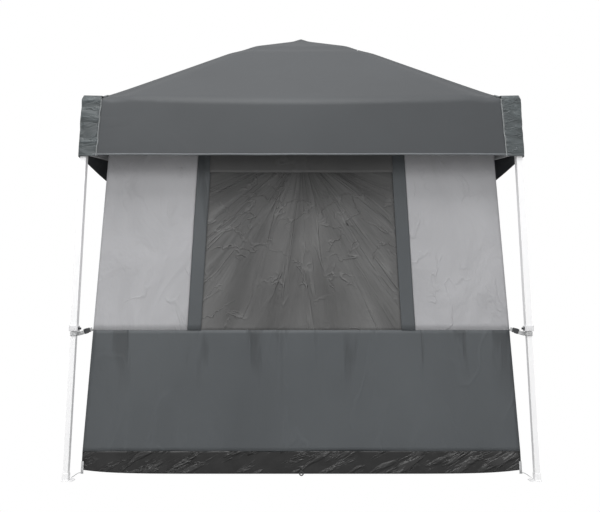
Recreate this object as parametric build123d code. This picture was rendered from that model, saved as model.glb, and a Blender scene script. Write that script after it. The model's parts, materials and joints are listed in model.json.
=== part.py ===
from build123d import *
import os
from math import atan2, cos, degrees, hypot, radians, sin, sqrt, tan

# Pop-up shelter with a privacy tent hung inside it. Millimetres, +Z up, front towards -Y,
# origin on the ground in the middle of the four feet.

# ---- driving dimensions -------------------------------------------------------------------
LEG_POS = 1165.0          # leg axis, from the middle, along X and along Y
UPPER_TUBE = 31.0         # square upper leg tube, outside
LOWER_TUBE = 25.0         # square lower leg tube, outside
TUBE_WALL = 1.5
UPPER_BOTTOM = 747.0      # lower end of the upper tube, seated in the leg lock
UPPER_TOP = 1984.0
LOWER_TOP = 1330.0        # upper end of the lower tube with the leg fully extended
LOCK_BOTTOM = 734.0
LOCK_HEIGHT = 28.0
LOCK_WIDTH = 44.0
LOCK_DEPTH = 40.0
LOCK_BOSS_R = 8.0
LOCK_BOSS_PROUD = 1.5
BUTTON_UP = 14.0          # middle of the button, above the bottom of the lock
BUTTON_WIDTH = 19.0
BUTTON_HEIGHT = 11.0
BUTTON_IN = 20.0          # inner end of the button's stem, from the leg axis
BUTTON_OUT = 32.0
BUTTON_PAD = 4.0
BUTTON_SLACK = 1.0        # round the stem, in its pocket
TUBE_SLACK = 0.5          # round the lower tube, in the lock
FOOT_PLATE = 56.0
FOOT_THICKNESS = 4.0
FOOT_SHIFT = 8.0          # the foot plate reaches further in than out
FOOT_CORNER = 9.0
SHOE_WALL = 2.5
SHOE_HEIGHT = 34.0
RIVET_R = 2.5
STAKE_HOLE_R = 4.0
STAKE_IN = 27.0           # the two stake holes, from the leg axis
STAKE_ASIDE = 4.0
BRACKET_WALL = 2.5
BRACKET_DEPTH = 54.0
BRACKET_ROOF = 5.0
SLIDER_SIZE = 38.0
SLIDER_HEIGHT = 56.0
SLIDER_SLACK = 0.6

BAR_HEIGHT = 25.0         # truss bar section, in the plane of the truss
BAR_THICKNESS = 12.0
BAR_WALL = 1.0
BAR_END = 12.0            # bar beyond its end pivot
LAYER = 7.0               # the two bars of a crossing lie this far either side of the truss plane
PIN_R = 3.0
PIN_CLEARANCE = 0.05
PIN_HEAD = 1.5
PIN_END_GAP = 1.0         # between the far bar and the pin's head
EAR = 3.0                 # plates of a clevis
EAR_HEIGHT = 22.0
EAR_GAP = 0.5             # between an ear and the bar
EAR_CHAMFER = 7.0
PIVOT_OUT = 50.0          # side pivots, from the leg axis
HIGH_PIVOT_Z = 1960.0
TRUSS_ANGLE = 13.0        # slope of the truss bars with the frame open
BAR_SPAN = LEG_POS - PIVOT_OUT
LOW_PIVOT_Z = HIGH_PIVOT_Z - BAR_SPAN * tan(radians(TRUSS_ANGLE))

DIAGONAL_OUT = 57.0       # roof bar pivot, from the leg axis along the diagonal
KNEE_RADIUS = 560.0       # knee of the roof bars, from the middle along the diagonal
KNEE_Z = 2660.0
HUB_PIVOT_RADIUS = 30.0
INNER_BAR_ANGLE = 15.0    # slope of the inner roof bars with the frame open
HUB_Z = KNEE_Z + (KNEE_RADIUS - HUB_PIVOT_RADIUS) * tan(radians(INNER_BAR_ANGLE))
HUB_R = 54.0
HUB_HEIGHT = 26.0
HUB_SLOT_IN = 19.0        # the slots for the bars reach in to here
HUB_SLOT = 13.0
MAST = 18.0
CROWN_Z = 2956.0          # top of the hub's mast
CROWN_R = 16.0
CROWN_HEIGHT = 20.0
CROWN_CHAMFER = 7.0
ROOF_BAR_STEP = 2 * LAYER     # the inner roof bar lies beside the outer one
BLADE_LENGTH = 70.0
BLADE_R = 6.0
BLADE_THICKNESS = 5.0

EAVE_Z = 2000.0
EAVE_HALF = 1187.0
VALANCE_BOTTOM = 1667.0
ELBOW_HALF = 400.0        # the roof bends here, over the knees
ELBOW_Z = 2700.0
PEAK_Z = 2976.0
PEAK_PATCH = 14.0         # the flat at the very top, over the mast
CLOTH = 1.0

TENT_BOTTOM_HALF = 1110.0
TENT_TOP_HALF = 1066.0
TENT_TOP_Z = 1735.0
TUB_BASE = 8.0            # the sewn floor, above the ground
TUB_TOP = 132.0           # top of the waterproof band round the floor
DOOR_HALF = 430.0
DOOR_BOTTOM = 162.0
DOOR_TOP = 1560.0
ZIP_START = 216.0         # the zip's slider with the door shut
WINDOW_HALF_LOW = 528.0
WINDOW_HALF_HIGH = 500.0
WINDOW_BOTTOM = 742.0
WINDOW_TOP = 1625.0
CLOTH_GAP = 1.5
STRAP_WIDTH = 20.0
STRAP_THICKNESS = 1.6
STRAP_SLACK = 1.5
STRAP_DOWN = 13.0         # middle of the loop, below the lock
STRAP_RISE = 27.0         # from the loop up to the tent's seam
BUCKLE_ALONG = 0.62       # share of the tail
BUCKLE_LENGTH = 32.0
BUCKLE_HEIGHT = 24.0
BUCKLE_DEPTH = 9.0
BUCKLE_CORNER = 4.0

CORNERS = {"fl": (-1, -1), "fr": (1, -1), "bl": (-1, 1), "br": (1, 1)}
SIDES = {
    "front": ("fl", "fr", Vector(1, 0, 0)),
    "left": ("fl", "bl", Vector(0, 1, 0)),
    "right": ("fr", "br", Vector(0, 1, 0)),
    "back": ("bl", "br", Vector(1, 0, 0)),
}
UP = Vector(0, 0, 1)


# ---- small helpers ------------------------------------------------------------------------
def leg_axis(corner, z=0.0):
    sx, sy = CORNERS[corner]
    return Vector(sx * LEG_POS, sy * LEG_POS, z)


def inward(corner):
    sx, sy = CORNERS[corner]
    return Vector(-sx, -sy, 0).normalized()


def square_tube(outside, wall, bottom, top):
    section = Rectangle(outside, outside) - Rectangle(outside - 2 * wall, outside - 2 * wall)
    return Pos(0, 0, bottom) * extrude(section, top - bottom)


def block(width, depth, bottom, top, corner_cut):
    """An upright block with its four upright edges cut off."""
    solid = Pos(0, 0, (bottom + top) / 2) * Box(width, depth, top - bottom)
    return chamfer(solid.edges().filter_by(Axis.Z), corner_cut)


def prism(radius, sides, height):
    """A many-sided prism about Z, with its middle at the origin. Radius is to its flats."""
    return extrude(RegularPolygon(radius, sides, major_radius=False), height / 2, both=True)


def frustum(low_z, low_side, high_z, high_side):
    """A square block that tapers upwards, with flat faces."""
    height = high_z - low_z
    taper = degrees(atan2((low_side - high_side) / 2, height))
    return Pos(0, 0, low_z) * extrude(Rectangle(low_side, low_side), height, taper=taper)


def at_corner(shape, corner):
    """Turns a shape made for the corner whose inside is towards +X and +Y, and moves it there."""
    sx, sy = CORNERS[corner]
    turn = {(-1, -1): 0, (1, -1): 90, (1, 1): 180, (-1, 1): 270}[(sx, sy)]
    return Pos(sx * LEG_POS, sy * LEG_POS, 0) * Rot(0, 0, turn) * shape


def bar(start, end, lateral, layer, holes, pins, pin_side):
    """A rectangular tube from pivot to pivot. Holes and pins are shares of its length."""
    along = end - start
    length = along.length
    plane = Plane(origin=start + lateral * layer, x_dir=along.normalized(), z_dir=lateral)
    full = length + 2 * BAR_END
    middle = Pos(length / 2, 0, 0)
    body = middle * Box(full, BAR_HEIGHT, BAR_THICKNESS)
    body -= middle * Box(full + 2, BAR_HEIGHT - 2 * BAR_WALL, BAR_THICKNESS - 2 * BAR_WALL)
    for share in holes:
        body -= Pos(share * length, 0, 0) * prism(PIN_R + PIN_CLEARANCE, 8, BAR_THICKNESS + 2)
    near = BAR_THICKNESS / 2
    far = near + 2 * LAYER + PIN_END_GAP
    for share in pins:
        body += Pos(share * length, 0, pin_side * (near + far) / 2) * Cylinder(PIN_R, far - near)
        body += Pos(share * length, 0, pin_side * (far + PIN_HEAD / 2)) * prism(2 * PIN_R, 8, PIN_HEAD)
    return plane * body


def clevis(pivot, out, lateral, layer, root):
    """Two ears with a pin between them. They reach from root to the pivot along out."""
    gap = BAR_THICKNESS / 2 + EAR_GAP
    end = EAR_HEIGHT / 2
    plane = Plane(origin=pivot + lateral * layer, x_dir=out, z_dir=lateral)
    plate = Pos((end - root) / 2, 0, 0) * Box(root + end, EAR_HEIGHT, EAR)
    plate = chamfer(plate.edges().filter_by(Axis.Z).group_by(Axis.X)[-1], EAR_CHAMFER)
    ears = [Pos(0, 0, side * (gap + EAR / 2)) * plate for side in (-1, 1)]
    return plane * (ears[0] + ears[1] + Cylinder(PIN_R, 2 * gap + EAR))


def side_points(side):
    """The named pivots of one side's truss, on the truss plane."""
    first, last, along = SIDES[side]
    base = leg_axis(first)
    span = 2 * LEG_POS
    high = UP * HIGH_PIVOT_Z
    low = UP * LOW_PIVOT_Z
    return {
        "high_first": base + along * PIVOT_OUT + high,
        "low_first": base + along * PIVOT_OUT + low,
        "high_mid": base + along * LEG_POS + high,
        "low_mid": base + along * LEG_POS + low,
        "high_last": base + along * (span - PIVOT_OUT) + high,
        "low_last": base + along * (span - PIVOT_OUT) + low,
    }


def corner_sides(corner):
    """The two trusses that meet at a corner: the inward direction, the lateral and which end it is."""
    found = []
    for first, last, along in SIDES.values():
        if corner == first:
            found.append((along, UP.cross(along), "first"))
        if corner == last:
            found.append((along * -1, UP.cross(along), "last"))
    return found


# ---- legs ---------------------------------------------------------------------------------
def upper_leg(corner):
    tube = square_tube(UPPER_TUBE, TUBE_WALL, UPPER_BOTTOM, UPPER_TOP)
    return at_corner(tube, corner)


def corner_bracket(corner):
    """Moulded cap on the leg top, with a clevis for each side truss."""
    size = UPPER_TUBE + 2 * BRACKET_WALL
    top = UPPER_TOP + BRACKET_ROOF
    cap = block(size, size, top - BRACKET_DEPTH, top, 4)
    cap = chamfer(cap.faces().sort_by(Axis.Z)[-1].edges(), BRACKET_WALL)
    cap -= Pos(0, 0, UPPER_TOP - BRACKET_DEPTH / 2) * Box(UPPER_TUBE, UPPER_TUBE, BRACKET_DEPTH)
    bracket = at_corner(cap, corner)
    for out, lateral, end in corner_sides(corner):
        layer = -LAYER if end == "first" else LAYER
        pivot = leg_axis(corner, HIGH_PIVOT_Z) + out * PIVOT_OUT
        bracket += clevis(pivot, out, lateral, layer, PIVOT_OUT - size / 2)
    return bracket


def foot():
    """Steel plate with two stake holes, and the socket riveted round the tube."""
    plate = block(FOOT_PLATE, FOOT_PLATE, 0, FOOT_THICKNESS, FOOT_CORNER)
    plate = Pos(FOOT_SHIFT, FOOT_SHIFT, 0) * plate
    for spot in ((STAKE_IN, STAKE_ASIDE), (STAKE_ASIDE, STAKE_IN)):
        plate -= Pos(*spot, 0) * Cylinder(STAKE_HOLE_R, 3 * FOOT_THICKNESS)
    width = LOWER_TUBE + 2 * SHOE_WALL
    shoe = block(width, width, FOOT_THICKNESS, FOOT_THICKNESS + SHOE_HEIGHT, 2)
    shoe -= Pos(0, 0, SHOE_HEIGHT) * Box(LOWER_TUBE, LOWER_TUBE, 2 * SHOE_HEIGHT - 2 * FOOT_THICKNESS)
    middle = FOOT_THICKNESS + SHOE_HEIGHT / 2
    for side in (-1, 1):
        shoe += Pos(side * (width + 1) / 2, 0, middle) * Rot(0, 90, 0) * prism(RIVET_R, 8, 1.4)
    return plate + shoe


def lower_leg(corner):
    """The sliding tube, standing in its foot."""
    tube = square_tube(LOWER_TUBE, TUBE_WALL, FOOT_THICKNESS, LOWER_TOP)
    return Compound(children=[at_corner(tube, corner), at_corner(foot(), corner)])


def facing_in(shape, corner):
    """Turns a lock piece, whose button is towards +X, so that the button faces along X at each corner."""
    return at_corner(Rot(0, 0, 90 if corner in ("fr", "bl") else 0) * shape, corner)


def leg_lock(corner):
    """Moulded collar at the joint of the two tubes, with a pocket for its button."""
    top = LOCK_BOTTOM + LOCK_HEIGHT
    middle = (LOCK_BOTTOM + top) / 2
    collar = block(LOCK_WIDTH, LOCK_DEPTH, LOCK_BOTTOM, top, 4)
    collar = chamfer(collar.faces().sort_by(Axis.Z)[0].edges(), 2)
    for side in (-1, 1):
        boss = Rot(90, 0, 0) * prism(LOCK_BOSS_R, 12, 2 * LOCK_BOSS_PROUD)
        collar += Pos(0, side * LOCK_DEPTH / 2, middle) * boss
    hole = LOWER_TUBE + 2 * TUBE_SLACK
    collar -= Pos(0, 0, middle) * Box(hole, hole, LOCK_HEIGHT + 2)
    seat = 2 * (top - UPPER_BOTTOM)
    collar -= Pos(0, 0, top) * Box(UPPER_TUBE, UPPER_TUBE, seat)
    pocket = (BUTTON_WIDTH + 2 * BUTTON_SLACK, BUTTON_HEIGHT + 2 * BUTTON_SLACK)
    collar -= Pos(LOCK_WIDTH / 2, 0, LOCK_BOTTOM + BUTTON_UP) * Box(LOCK_WIDTH - hole + 2, *pocket)
    return facing_in(collar, corner)


def lock_button(corner):
    """Thumb button on the inner side of the lock."""
    button = Box(BUTTON_OUT - BUTTON_IN, BUTTON_WIDTH, BUTTON_HEIGHT)
    button = chamfer(button.faces().sort_by(Axis.X)[-1].edges(), BUTTON_PAD / 3)
    return facing_in(Pos((BUTTON_IN + BUTTON_OUT) / 2, 0, LOCK_BOTTOM + BUTTON_UP) * button, corner)


def slider(corner):
    """Sleeve on the upper tube that carries the low ends of the trusses and a roof bar."""
    hole = UPPER_TUBE + 2 * SLIDER_SLACK
    low = LOW_PIVOT_Z - SLIDER_HEIGHT / 2
    sleeve = block(SLIDER_SIZE, SLIDER_SIZE, low, low + SLIDER_HEIGHT, 3)
    sleeve -= Pos(0, 0, LOW_PIVOT_Z) * Box(hole, hole, SLIDER_HEIGHT + 2)
    sleeve = at_corner(sleeve, corner)
    for out, lateral, end in corner_sides(corner):
        layer = LAYER if end == "first" else -LAYER
        pivot = leg_axis(corner, LOW_PIVOT_Z) + out * PIVOT_OUT
        sleeve += clevis(pivot, out, lateral, layer, PIVOT_OUT - SLIDER_SIZE / 2)
    out = inward(corner)
    pivot = leg_axis(corner, LOW_PIVOT_Z) + out * DIAGONAL_OUT
    root = DIAGONAL_OUT - SLIDER_SIZE / 2 * sqrt(2) + 3
    sleeve += clevis(pivot, out, UP.cross(out), 0, root)
    return sleeve


# ---- side trusses -------------------------------------------------------------------------
def truss_bars(side):
    """The four bars of one side: high and low, from the first corner and to the last one."""
    points = side_points(side)
    lateral = UP.cross(SIDES[side][2])
    return {
        "high_1": bar(points["high_first"], points["low_mid"], lateral, -LAYER, [0, 0.5, 1], [], 1),
        "low_1": bar(points["low_first"], points["high_mid"], lateral, LAYER, [0, 1], [0.5], -1),
        "high_2": bar(points["low_mid"], points["high_last"], lateral, LAYER, [0.5, 1], [0], -1),
        "low_2": bar(points["high_mid"], points["low_last"], lateral, -LAYER, [1], [0, 0.5], 1),
    }


# ---- roof bars and hub --------------------------------------------------------------------
def roof_points(corner):
    out = inward(corner)
    foot = leg_axis(corner, LOW_PIVOT_Z) + out * DIAGONAL_OUT
    knee = out * -KNEE_RADIUS + UP * KNEE_Z
    hub = out * -HUB_PIVOT_RADIUS + UP * HUB_Z
    return foot, knee, hub, UP.cross(out)


def outer_roof_bar(corner):
    foot, knee, hub, lateral = roof_points(corner)
    return bar(foot, knee, lateral, 0, [0, 1], [], 1)


def inner_roof_bar(corner):
    """Tube from the knee to the hub, with a slim blade at the hub end."""
    foot, knee, hub, lateral = roof_points(corner)
    along = hub - knee
    stop = hub - along.normalized() * BLADE_LENGTH
    tube = bar(knee, stop, lateral, ROOF_BAR_STEP, [], [0], -1)
    plane = Plane(origin=hub + lateral * ROOF_BAR_STEP, x_dir=along.normalized(), z_dir=lateral)
    blade = Pos(-BLADE_LENGTH / 2, 0, 0) * Box(BLADE_LENGTH, 2 * BLADE_R, BLADE_THICKNESS)
    plug = Pos(-BLADE_LENGTH, 0, 0) * Box(2 * BAR_END, BAR_HEIGHT, BAR_THICKNESS)
    return tube + plane * (blade + plug + Cylinder(BLADE_R, BLADE_THICKNESS))


def hub():
    """Eight-sided block with four open slots for the roof bars, and the mast that holds up the peak."""
    crown_bottom = CROWN_Z - CROWN_HEIGHT
    centre = Pos(0, 0, HUB_Z) * prism(HUB_R, 8, HUB_HEIGHT)
    centre += Pos(0, 0, (HUB_Z + crown_bottom) / 2) * Box(MAST, MAST, crown_bottom - HUB_Z)
    crown = Pos(0, 0, CROWN_Z - CROWN_HEIGHT / 2) * prism(CROWN_R, 8, CROWN_HEIGHT)
    centre += chamfer(crown.faces().sort_by(Axis.Z)[-1].edges(), CROWN_CHAMFER)
    for corner in CORNERS:
        out = inward(corner)
        lateral = UP.cross(out)
        plane = Plane(origin=UP * HUB_Z + lateral * ROOF_BAR_STEP, x_dir=out * -1, z_dir=lateral)
        slot = Box(HUB_R, 2 * HUB_HEIGHT, HUB_SLOT)
        centre -= plane * (Pos(HUB_SLOT_IN + HUB_R / 2, 0, 0) * slot)
    return centre


# ---- canopy -------------------------------------------------------------------------------
def canopy_block(inset):
    """The canopy's outer form, drawn in by inset on every face and left open below."""
    side = 2 * (EAVE_HALF - inset)
    drop = inset * 1.4
    eave = EAVE_Z - drop / 2
    elbow = ELBOW_Z - drop
    elbow_side = 2 * (ELBOW_HALF - inset / 2)
    lower = frustum(VALANCE_BOTTOM - inset, side, eave, side)
    slope = frustum(eave, side, elbow, elbow_side)
    crown = frustum(elbow, elbow_side, PEAK_Z - drop, PEAK_PATCH)
    return lower + slope + crown


def canopy():
    return canopy_block(0) - canopy_block(CLOTH)


# ---- inner tent ---------------------------------------------------------------------------
def tent_half(z):
    share = z / TENT_TOP_Z
    return TENT_BOTTOM_HALF + (TENT_TOP_HALF - TENT_BOTTOM_HALF) * share


def wall_plane(turn):
    """Plane of one tent wall: x across it, y up it, with its origin at ground height."""
    lean = atan2(TENT_BOTTOM_HALF - TENT_TOP_HALF, TENT_TOP_Z)
    out = Vector(0, -1, 0).rotate(Axis.Z, turn)
    across = Vector(1, 0, 0).rotate(Axis.Z, turn)
    return Plane(origin=out * TENT_BOTTOM_HALF, x_dir=across, z_dir=out * cos(lean) + UP * sin(lean))


def up_wall(z):
    """Distance up a leaning wall to reach height z."""
    return z * hypot(TENT_TOP_Z, TENT_BOTTOM_HALF - TENT_TOP_HALF) / TENT_TOP_Z


def panel(turn, corners):
    outline = Polygon(*[(x, up_wall(z)) for x, z in corners], align=None)
    plane = wall_plane(turn)
    return extrude(plane * outline, CLOTH, dir=plane.z_dir)


def wall_outline(bottom, top):
    low = tent_half(bottom) - CLOTH_GAP
    high = tent_half(top) - CLOTH_GAP
    return [(-low, bottom), (low, bottom), (high, top), (-high, top)]


def plain_wall(turn):
    return panel(turn, wall_outline(TUB_TOP + CLOTH_GAP, TENT_TOP_Z))


def window_outline(grow):
    return [
        (-WINDOW_HALF_LOW - grow, WINDOW_BOTTOM - grow),
        (WINDOW_HALF_LOW + grow, WINDOW_BOTTOM - grow),
        (WINDOW_HALF_HIGH + grow, WINDOW_TOP + grow),
        (-WINDOW_HALF_HIGH - grow, WINDOW_TOP + grow),
    ]


def door_outline(grow):
    return [
        (-DOOR_HALF - grow, DOOR_BOTTOM - grow),
        (DOOR_HALF + grow, DOOR_BOTTOM - grow),
        (DOOR_HALF + grow, DOOR_TOP + grow),
        (-DOOR_HALF - grow, DOOR_TOP + grow),
    ]


def cut_through(wall, turn, corners):
    plane = wall_plane(turn)
    outline = Polygon(*[(x, up_wall(z)) for x, z in corners], align=None)
    return wall - extrude(plane * outline, 3 * CLOTH, dir=plane.z_dir, both=True)


def zip_slider():
    """Slider and pull tab of the door's zip, at the foot of the door's free edge."""
    plane = wall_plane(180)
    body = Pos(0, 0, 4) * Box(11, 20, 5)
    body += Pos(0, -24, 4) * Box(7, 30, 2)
    return plane * Pos(-DOOR_HALF - 1, up_wall(ZIP_START), 0) * body


def tent_floor():
    """Tray of waterproof sheet: the floor and the band that stands up round it."""
    low = 2 * tent_half(TUB_BASE)
    high = 2 * tent_half(TUB_TOP)
    outer = frustum(TUB_BASE, low, TUB_TOP, high)
    inner = frustum(TUB_BASE + CLOTH, low - 2 * CLOTH, TUB_TOP + CLOTH, high - 2 * CLOTH)
    return outer - inner


def tie_strap(corner):
    """Webbing loop round the lower tube, a side-release buckle, and the tail up to the tent's seam."""
    z = LOCK_BOTTOM - STRAP_DOWN
    loop_side = LOWER_TUBE + 2 * STRAP_SLACK + 2 * STRAP_THICKNESS
    loop = square_tube(loop_side, STRAP_THICKNESS, z - STRAP_WIDTH / 2, z + STRAP_WIDTH / 2)
    near = loop_side / 2 * sqrt(2) - STRAP_THICKNESS / 3
    far = (LEG_POS - tent_half(z)) * sqrt(2) - 4 * CLOTH_GAP
    slope = degrees(atan2(STRAP_RISE, far - near))
    length = hypot(STRAP_RISE, far - near)
    along = Pos(near, 0, z) * Rot(0, -slope, 0)
    tail = along * Pos(length / 2, 0, 0) * Box(length, STRAP_THICKNESS, STRAP_WIDTH)
    buckle = Box(BUCKLE_LENGTH, BUCKLE_DEPTH, BUCKLE_HEIGHT)
    buckle = chamfer(buckle.edges().filter_by(Axis.Y), BUCKLE_CORNER)
    buckle = along * Pos(BUCKLE_ALONG * length, 0, 0) * buckle
    return at_corner(loop + Rot(0, 0, 45) * (tail - buckle), corner), at_corner(Rot(0, 0, 45) * buckle, corner)


# ---- write one file per piece -------------------------------------------------------------
def build():
    parts = {}
    for corner in CORNERS:
        parts["upper_leg_" + corner] = upper_leg(corner)
        parts["corner_bracket_" + corner] = corner_bracket(corner)
        parts["lower_leg_" + corner] = lower_leg(corner)
        parts["leg_lock_" + corner] = leg_lock(corner)
        parts["lock_button_" + corner] = lock_button(corner)
        parts["slider_" + corner] = slider(corner)
        parts["outer_roof_bar_" + corner] = outer_roof_bar(corner)
        parts["inner_roof_bar_" + corner] = inner_roof_bar(corner)
    for side in SIDES:
        for name, shape in truss_bars(side).items():
            parts["truss_" + side + "_" + name] = shape
    parts["hub"] = hub()
    parts["canopy"] = canopy()
    parts["tent_floor"] = tent_floor()
    parts["tent_wall_front"] = cut_through(plain_wall(0), 0, window_outline(CLOTH_GAP))
    parts["window_mesh"] = panel(0, window_outline(0))
    parts["tent_wall_right"] = plain_wall(90)
    parts["tent_wall_left"] = plain_wall(270)
    parts["tent_wall_back"] = cut_through(plain_wall(180), 180, door_outline(CLOTH_GAP))
    parts["door_flap"] = panel(180, door_outline(0))
    parts["zip_slider"] = zip_slider()
    straps = [tie_strap(corner) for corner in CORNERS]
    parts["tie_straps"] = Compound(children=[strap for strap, buckle in straps])
    parts["strap_buckles"] = Compound(children=[buckle for strap, buckle in straps])
    return parts


if __name__ == "__main__":
    os.makedirs("parts", exist_ok=True)
    for node, shape in build().items():
        export_step(shape, "parts/" + node + ".step")
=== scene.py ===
import json
import math

import bmesh
import bpy
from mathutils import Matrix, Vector, noise


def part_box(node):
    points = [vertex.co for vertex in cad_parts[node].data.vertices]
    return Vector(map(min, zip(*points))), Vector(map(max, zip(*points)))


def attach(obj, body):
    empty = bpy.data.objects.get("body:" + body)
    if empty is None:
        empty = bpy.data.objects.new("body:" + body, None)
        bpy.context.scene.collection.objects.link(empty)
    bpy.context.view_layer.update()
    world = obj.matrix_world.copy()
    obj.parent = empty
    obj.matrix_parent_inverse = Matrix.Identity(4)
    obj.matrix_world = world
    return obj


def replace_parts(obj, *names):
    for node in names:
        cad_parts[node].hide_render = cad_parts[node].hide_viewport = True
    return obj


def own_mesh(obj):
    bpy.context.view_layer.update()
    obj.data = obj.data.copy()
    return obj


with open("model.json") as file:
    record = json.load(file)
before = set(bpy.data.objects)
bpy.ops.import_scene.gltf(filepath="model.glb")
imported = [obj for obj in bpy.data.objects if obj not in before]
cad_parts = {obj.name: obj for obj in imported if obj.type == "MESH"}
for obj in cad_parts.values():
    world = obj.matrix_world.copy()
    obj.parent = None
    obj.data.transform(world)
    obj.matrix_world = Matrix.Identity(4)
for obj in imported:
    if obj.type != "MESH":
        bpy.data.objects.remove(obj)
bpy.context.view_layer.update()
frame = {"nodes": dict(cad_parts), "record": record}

# ---- sizes, in metres, from the frame ------------------------------------------------------
CORNERS = {"fl": (-1, -1), "fr": (1, -1), "bl": (-1, 1), "br": (1, 1)}
UPPER_LOW, UPPER_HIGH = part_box("upper_leg_fr")
LEG = (UPPER_LOW.x + UPPER_HIGH.x) / 2
CANOPY_LOW, CANOPY_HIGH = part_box("canopy")
EAVE_HALF = CANOPY_HIGH.x
VALANCE_BOTTOM = CANOPY_LOW.z
PEAK_Z = CANOPY_HIGH.z
EAVE_Z = VALANCE_BOTTOM + 0.333
ELBOW_HALF = 0.40
ELBOW_Z = PEAK_Z - 0.276
WALL_LOW, WALL_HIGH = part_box("tent_wall_front")
TUB_LOW, TUB_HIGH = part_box("tent_floor")
TUB_TOP = TUB_HIGH.z
TENT_TOP_Z = WALL_HIGH.z
TENT_BOTTOM_HALF = TUB_HIGH.x
TENT_TOP_HALF = -WALL_HIGH.y
SEAM_Z = 0.742            # where the silver cloth meets the lower band
WINDOW_LOW, WINDOW_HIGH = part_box("window_mesh")
WINDOW_TOP = WINDOW_HIGH.z
WINDOW_HALF_LOW = WINDOW_HIGH.x
WINDOW_HALF_HIGH = 0.500
DOOR_LOW, DOOR_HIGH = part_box("door_flap")
DOOR_HALF = DOOR_HIGH.x
STRIP = 0.072
LOCK_LOW, LOCK_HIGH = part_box("leg_lock_fl")
WORLD_LIGHT = 0.60
FLOOR_GLOW = 0.12
CLOTH = 0.0012            # thickness of the tent cloth


# ---- node helpers --------------------------------------------------------------------------
def new_material(name):
    material = bpy.data.materials.new(name)
    material.use_nodes = True
    tree = material.node_tree
    shader = tree.nodes["Principled BSDF"]
    return material, tree, shader


def add(tree, kind, **settings):
    node = tree.nodes.new(kind)
    for key, value in settings.items():
        if key in node.inputs:
            node.inputs[key].default_value = value
        else:
            setattr(node, key, value)
    return node


def object_coordinates(tree, scale=(1, 1, 1), turn=(0, 0, 0)):
    """Object coordinates, turned and then scaled along each axis."""
    coordinates = add(tree, "ShaderNodeTexCoord")
    mapping = add(tree, "ShaderNodeMapping", vector_type="TEXTURE")
    mapping.inputs["Scale"].default_value = [1 / factor for factor in scale]
    mapping.inputs["Rotation"].default_value = turn
    tree.links.new(coordinates.outputs["Object"], mapping.inputs["Vector"])
    return mapping.outputs["Vector"]


def noise_between(tree, vector, scale, dark, light, detail=4.0, low=0.3, high=0.7):
    """Colour that drifts between dark and light."""
    pattern = add(tree, "ShaderNodeTexNoise", Scale=scale, Detail=detail)
    ramp = add(tree, "ShaderNodeValToRGB")
    ramp.color_ramp.elements[0].position = low
    ramp.color_ramp.elements[0].color = (*dark, 1)
    ramp.color_ramp.elements[1].position = high
    ramp.color_ramp.elements[1].color = (*light, 1)
    tree.links.new(vector, pattern.inputs["Vector"])
    tree.links.new(pattern.outputs["Fac"], ramp.inputs["Fac"])
    return ramp.outputs["Color"]


def stacked_bumps(tree, shader, layers):
    """Each layer is (height output, strength, distance in metres)."""
    normal = None
    for height, strength, distance in layers:
        bump = add(tree, "ShaderNodeBump", Strength=strength, Distance=distance)
        tree.links.new(height, bump.inputs["Height"])
        if normal is not None:
            tree.links.new(normal, bump.inputs["Normal"])
        normal = bump.outputs["Normal"]
    tree.links.new(normal, shader.inputs["Normal"])


def wave(tree, vector, direction, scale):
    band = add(tree, "ShaderNodeTexWave", bands_direction=direction, Scale=scale, Distortion=0.4)
    tree.links.new(vector, band.inputs["Vector"])
    return band.outputs["Fac"]


def times(tree, first, second):
    product = add(tree, "ShaderNodeMath", operation="MULTIPLY")
    tree.links.new(first, product.inputs[0])
    tree.links.new(second, product.inputs[1])
    return product.outputs[0]


def remapped(tree, value, low, high, at_low=0.0, at_high=1.0, curve="SMOOTHSTEP"):
    """A value that goes from at_low to at_high while the given one goes from low to high."""
    level = add(tree, "ShaderNodeMapRange", interpolation_type=curve)
    for socket, number in (("From Min", low), ("From Max", high), ("To Min", at_low), ("To Max", at_high)):
        level.inputs[socket].default_value = number
    tree.links.new(value, level.inputs["Value"])
    return level.outputs["Result"]


def weave_height(tree, vector, scale):
    """Crossed yarns: bands along X or Y, and along Z."""
    return times(tree, wave(tree, vector, "DIAGONAL", scale), wave(tree, vector, "Z", scale))


def crease_lines(tree, vector, scale, width=0.035):
    """Thin scattered lines, as in cloth that has been packed away: 1 on a crease, 0 beside it."""
    paths = add(tree, "ShaderNodeTexNoise", Scale=scale, Detail=3.0, Distortion=0.5)
    tree.links.new(vector, paths.inputs["Vector"])
    centred = add(tree, "ShaderNodeMath", operation="SUBTRACT")
    centred.inputs[1].default_value = 0.5
    tree.links.new(paths.outputs["Fac"], centred.inputs[0])
    distance = add(tree, "ShaderNodeMath", operation="ABSOLUTE")
    tree.links.new(centred.outputs[0], distance.inputs[0])
    line = remapped(tree, distance.outputs[0], 0.0, width, 1.0, 0.0)
    fade = add(tree, "ShaderNodeTexNoise", Scale=scale * 0.8, Detail=1.0)
    tree.links.new(vector, fade.inputs["Vector"])
    return times(tree, line, remapped(tree, fade.outputs["Fac"], 0.42, 0.62))


def brightened(tree, colour, factor):
    scaled = add(tree, "ShaderNodeVectorMath", operation="SCALE")
    tree.links.new(colour, scaled.inputs[0])
    tree.links.new(factor, scaled.inputs["Scale"])
    return scaled.outputs[0]


def shaded(tree, colour, height, amount):
    """Colour made lighter where the height is high and darker where it is low: painted highlight on the tops
    of folds and painted shade in their hollows.
    """
    return brightened(tree, colour, remapped(tree, height, 0.3, 0.7, 1 - amount, 1 + amount, "LINEAR"))


def painted_light_along(tree, colour, lines, amount):
    """Painted light: colour made lighter (painted highlight), or darker for an amount below zero (painted
    shade), where lines is 1.
    """
    return brightened(tree, colour, remapped(tree, lines, 0.0, 1.0, 1.0, 1 + amount, "LINEAR"))


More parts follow.
